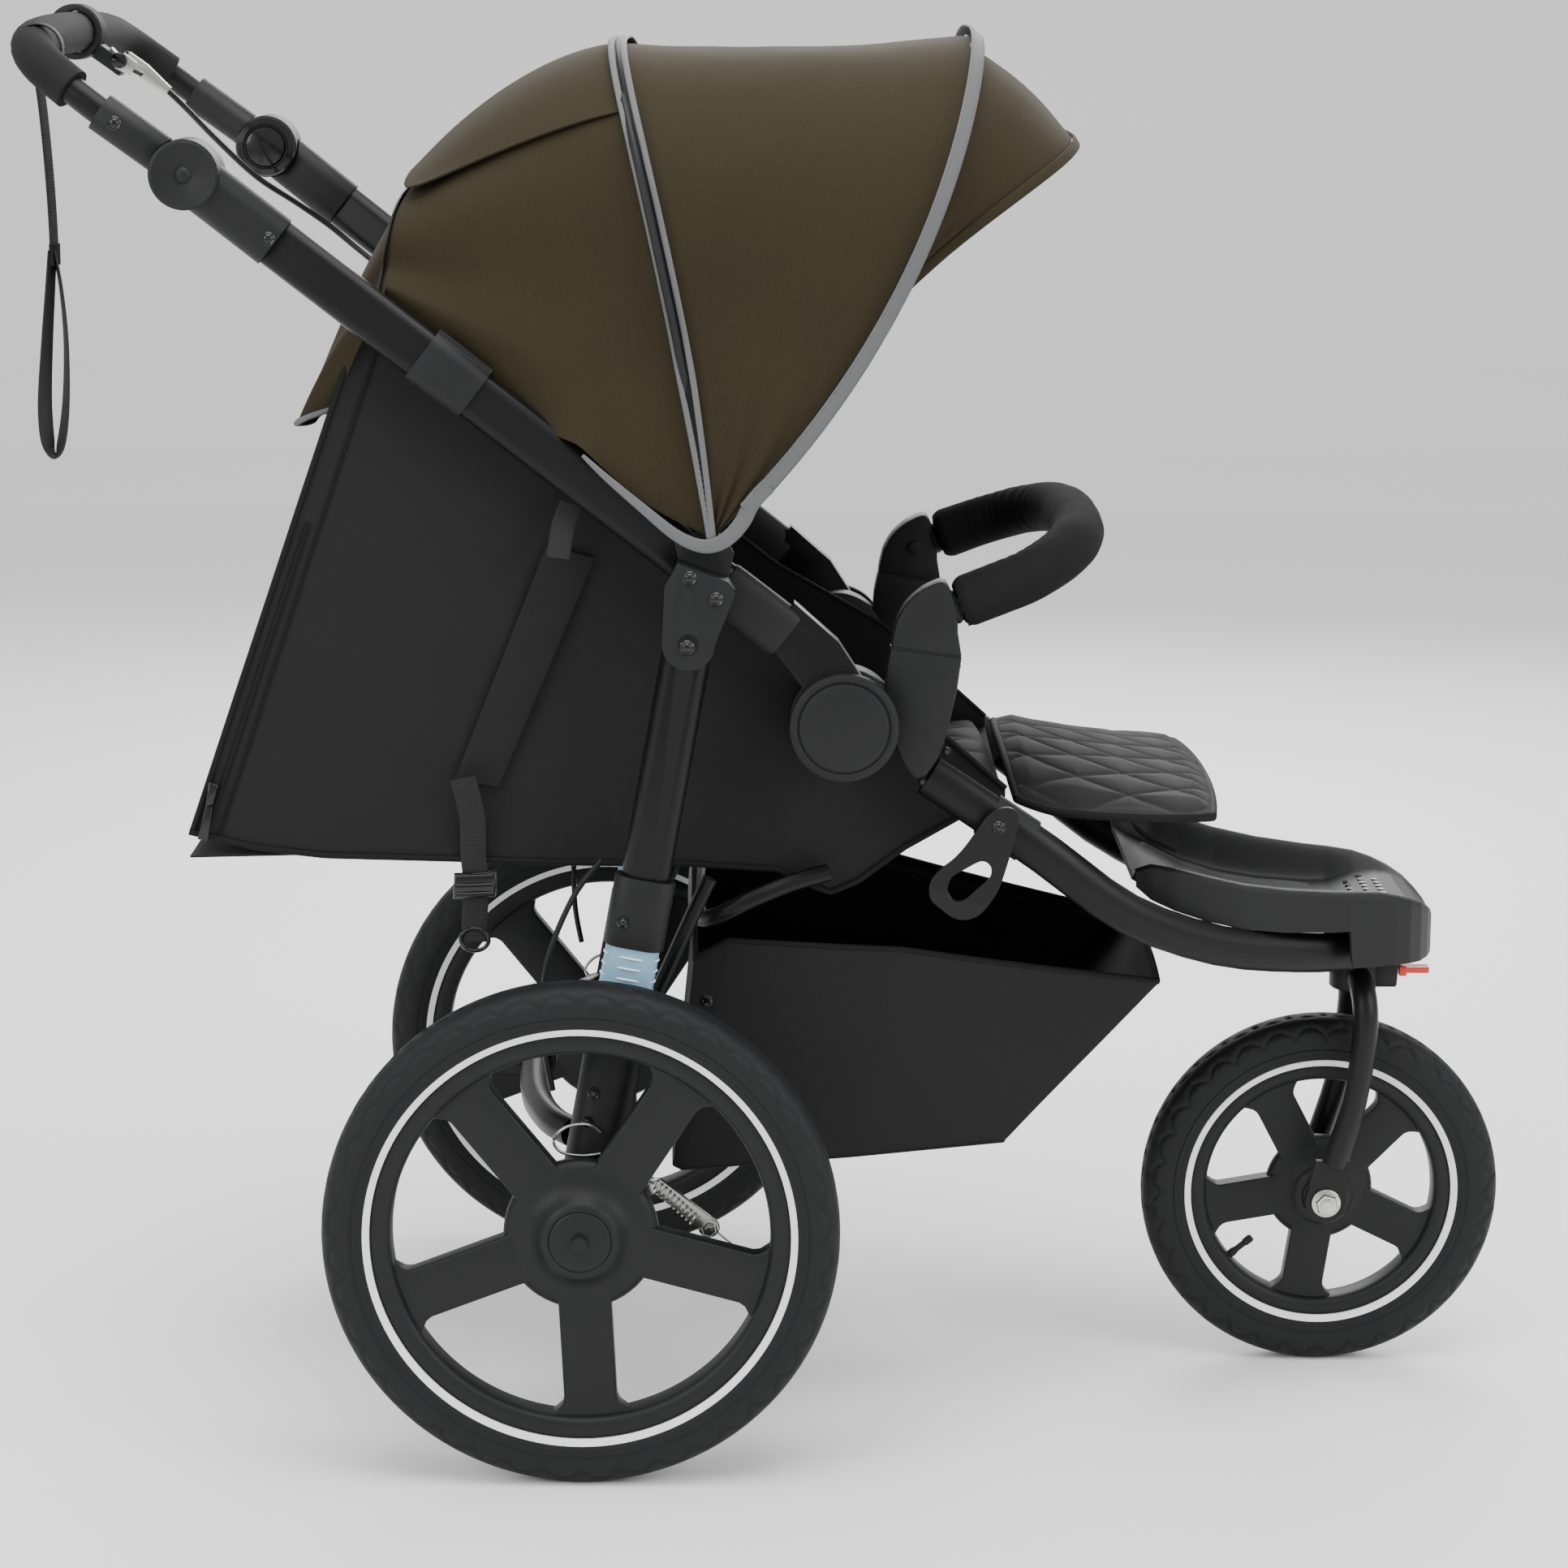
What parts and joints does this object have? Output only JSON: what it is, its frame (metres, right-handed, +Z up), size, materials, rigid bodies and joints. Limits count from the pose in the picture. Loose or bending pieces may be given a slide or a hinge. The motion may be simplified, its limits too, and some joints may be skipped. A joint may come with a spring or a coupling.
{
  "type": "jogging stroller",
  "caption": "Folding three-wheeled jogging stroller with large rear wheels, swivelling front wheel, reclined fabric seat, hooded canopy, bumper bar and tilting handle.",
  "frame": {"origin": "on the floor, below the middle of the whole length and width", "axes": "+X forward, +Y to the child's left, +Z up"},
  "size_m": [1.193, 0.636, 1.125],
  "materials": {
    "tube": "black anodised satin",
    "moulding": "fine textured",
    "steel_black": "satin black powder coat",
    "steel": "zinc plated",
    "tyre": "moulded rubber",
    "rim": "satin moulded",
    "foam": "open foam",
    "canopy_cloth": "heathered linen weave",
    "seat_cloth": "twill",
    "webbing": "ribbed webbing",
    "red": "semi-gloss",
    "gloss": "gloss",
    "sleeve": "frosted clear plastic",
    "spring": "blue coated",
    "cable": "smooth jacket"
  },
  "bodies": {
    "chassis": {"front_rails": "tube", "fold_housings": "moulding", "fold_caps": "moulding", "bumper_brackets": "moulding", "fork_head": "moulding", "footrest_tray": "moulding", "basket_frame": "tube", "basket": "seat_cloth", "seat_base": "seat_cloth", "harness_buckle": "gloss"},
    "leg_rest": {"leg_pad": "seat_cloth"},
    "fork": {"front_fork": "steel_black", "front_axle": "steel"},
    "front_wheel": {"front_tyre": "tyre", "front_rim": "rim"},
    "swivel_lock": {"swivel_lock": "red"},
    "storage_hook": {"storage_hook": "steel_black"},
    "push_arms": {"push_arms": "tube", "leg_brackets": "moulding", "canopy_clamps": "moulding", "tilt_housings": "moulding", "seat_tub": "seat_cloth", "recline_straps": "webbing", "brake_cable": "cable", "canopy_rear": "canopy_cloth"},
    "handlebar": {"handlebar": "tube", "handle_knuckles": "moulding", "handle_grip": "foam", "brake_clamp": "moulding", "wrist_strap": "webbing"},
    "tilt_button_left": {"tilt_button_left": "gloss"},
    "tilt_button_right": {"tilt_button_right": "gloss"},
    "brake_lever": {"brake_lever": "steel"},
    "rear_legs": {"rear_legs": "tube", "leg_collars": "moulding"},
    "rear_axle": {"axle_struts": "moulding", "spring_sleeves": "sleeve", "suspension_springs": "spring", "rear_cross_tube": "tube"},
    "parking_pedal": {"parking_pedal": "moulding"},
    "brake_arm_left": {"brake_arm_left": "steel"},
    "brake_arm_right": {"brake_arm_right": "steel"},
    "rear_wheel_left": {"rear_tyre_left": "tyre", "rear_rim_left": "rim"},
    "rear_wheel_right": {"rear_tyre_right": "tyre", "rear_rim_right": "rim"},
    "mid_bow": {"canopy_mid_bow": "moulding", "canopy_front": "canopy_cloth"},
    "front_bow": {"canopy_front_bow": "moulding", "canopy_visor": "canopy_cloth"},
    "visor": {"canopy_visor_bow": "steel_black"},
    "bumper_bar": {"bumper_bar": "tube", "bumper_pad": "seat_cloth"},
    "bumper_button_left": {"bumper_button_left": "gloss"},
    "bumper_button_right": {"bumper_button_right": "gloss"},
    "backrest": {"backrest": "seat_cloth", "harness_straps": "webbing"},
    "buckle_button": {"buckle_button": "red"}
  },
  "joints": [
    {"name": "frame_fold", "type": "hinge", "parent": "chassis", "child": "push_arms", "pos_m": [0.0375, 0, 0.586], "axis": [0, 1, 0], "range_deg": [0, 125], "deforming": ["seat_tub", "basket", "canopy_rear", "brake_cable", "recline_straps", "backrest", "harness_straps", "canopy_front", "canopy_visor", "leg_pad", "seat_base", "wrist_strap"]},
    {"name": "rear_leg_fold", "type": "hinge", "parent": "push_arms", "child": "rear_legs", "pos_m": [-0.0815, 0, 0.656], "axis": [0, 1, 0], "range_deg": [-125, 0]},
    {"name": "canopy_back", "type": "hinge", "parent": "push_arms", "child": "mid_bow", "pos_m": [-0.0635, 0, 0.733], "axis": [0, 1, 0], "range_deg": [-39, 0]},
    {"name": "canopy_front", "type": "hinge", "parent": "mid_bow", "child": "front_bow", "pos_m": [-0.0635, 0, 0.733], "axis": [0, 1, 0], "range_deg": [-30, 0]},
    {"name": "visor_flip", "type": "hinge", "parent": "front_bow", "child": "visor", "pos_m": [0.0585, 0, 0.905], "axis": [0, 1, 0], "range_deg": [-55, 0]},
    {"name": "handle_tilt", "type": "hinge", "parent": "push_arms", "child": "handlebar", "pos_m": [-0.4535, 0, 1.005], "axis": [0, 1, 0], "range_deg": [-60, 60], "deforming": ["wrist_strap", "brake_cable"]},
    {"name": "tilt_button_left_press", "type": "slide", "parent": "handlebar", "child": "tilt_button_left", "axis": [0, 1, 0], "range_m": [0, 0.0035], "stiffness_N_per_m": 900, "springref_m": -0.002},
    {"name": "tilt_button_right_press", "type": "slide", "parent": "handlebar", "child": "tilt_button_right", "axis": [0, -1, 0], "range_m": [0, 0.0035], "stiffness_N_per_m": 900, "springref_m": -0.002},
    {"name": "brake_lever_pull", "type": "hinge", "parent": "handlebar", "child": "brake_lever", "pos_m": [-0.5395, 0, 1.082], "axis": [0, 1, 0], "range_deg": [0, 18], "stiffness_Nm_per_rad": 2, "springref_deg": -2.86},
    {"name": "brake_arm_left_pull", "type": "hinge", "parent": "rear_axle", "child": "brake_arm_left", "pos_m": [-0.1115, 0, 0.226], "axis": [0, 1, 0], "range_deg": [-12, 0]},
    {"name": "brake_arm_right_pull", "type": "hinge", "parent": "rear_axle", "child": "brake_arm_right", "pos_m": [-0.1115, 0, 0.226], "axis": [0, 1, 0], "range_deg": [-12, 0]},
    {"name": "suspension", "type": "slide", "parent": "rear_legs", "child": "rear_axle", "axis": [0.177, 0, 0.9842], "range_m": [0, 0.015], "stiffness_N_per_m": 30000, "springref_m": -0.012, "deforming": ["suspension_springs"]},
    {"name": "parking_pedal_press", "type": "hinge", "parent": "rear_axle", "child": "parking_pedal", "pos_m": [-0.2135, 0, 0.262], "axis": [0, -1, 0], "range_deg": [0, 20]},
    {"name": "rear_wheel_left_spin", "type": "hinge", "parent": "rear_axle", "child": "rear_wheel_left", "pos_m": [-0.1635, 0.287, 0.2], "axis": [0, 1, 0], "continuous": true},
    {"name": "rear_wheel_right_spin", "type": "hinge", "parent": "rear_axle", "child": "rear_wheel_right", "pos_m": [-0.1635, -0.287, 0.2], "axis": [0, 1, 0], "continuous": true},
    {"name": "fork_swivel", "type": "hinge", "parent": "chassis", "child": "fork", "pos_m": [0.4705, 0, 0.36], "axis": [0, 0, 1], "continuous": true},
    {"name": "front_wheel_spin", "type": "hinge", "parent": "fork", "child": "front_wheel", "pos_m": [0.4465, 0, 0.15], "axis": [0, 1, 0], "continuous": true},
    {"name": "swivel_lock_turn", "type": "hinge", "parent": "fork", "child": "swivel_lock", "pos_m": [0.5105, 0, 0.339], "axis": [0, 1, 0], "range_deg": [0, 20]},
    {"name": "storage_hook_swing", "type": "hinge", "parent": "chassis", "child": "storage_hook", "pos_m": [0.1585, -0.202, 0.505], "axis": [0, 1, 0], "range_deg": [-20, 0], "stiffness_Nm_per_rad": 0.5, "springref_deg": 5.73},
    {"name": "bumper_bar_pull", "type": "slide", "parent": "chassis", "child": "bumper_bar", "axis": [0.9367, 0, 0.3502], "range_m": [0, 0.06]},
    {"name": "bumper_button_left_press", "type": "slide", "parent": "chassis", "child": "bumper_button_left", "axis": [0, 1, 0], "range_m": [0, 0.003], "stiffness_N_per_m": 900, "springref_m": -0.002},
    {"name": "bumper_button_right_press", "type": "slide", "parent": "chassis", "child": "bumper_button_right", "axis": [0, -1, 0], "range_m": [0, 0.003], "stiffness_N_per_m": 900, "springref_m": -0.002},
    {"name": "backrest_recline", "type": "hinge", "parent": "chassis", "child": "backrest", "pos_m": [-0.1035, 0, 0.485], "axis": [0, 1, 0], "range_deg": [0, 50], "deforming": ["seat_tub", "harness_straps"]},
    {"name": "leg_rest_drop", "type": "hinge", "parent": "chassis", "child": "leg_rest", "pos_m": [0.1665, 0, 0.522], "axis": [0, 1, 0], "range_deg": [0, 16]},
    {"name": "buckle_press", "type": "slide", "parent": "chassis", "child": "buckle_button", "axis": [0, 0, -1], "range_m": [0, 0.002], "stiffness_N_per_m": 700, "springref_m": -0.002}
  ],
  "couplings": [
    {"joint": "rear_leg_fold", "follows": "frame_fold", "ratio": -1},
    {"joint": "canopy_back", "follows": "frame_fold", "ratio": -0.312},
    {"joint": "brake_arm_left_pull", "follows": "brake_lever_pull", "ratio": -0.6},
    {"joint": "brake_arm_right_pull", "follows": "brake_lever_pull", "ratio": -0.6}
  ]
}
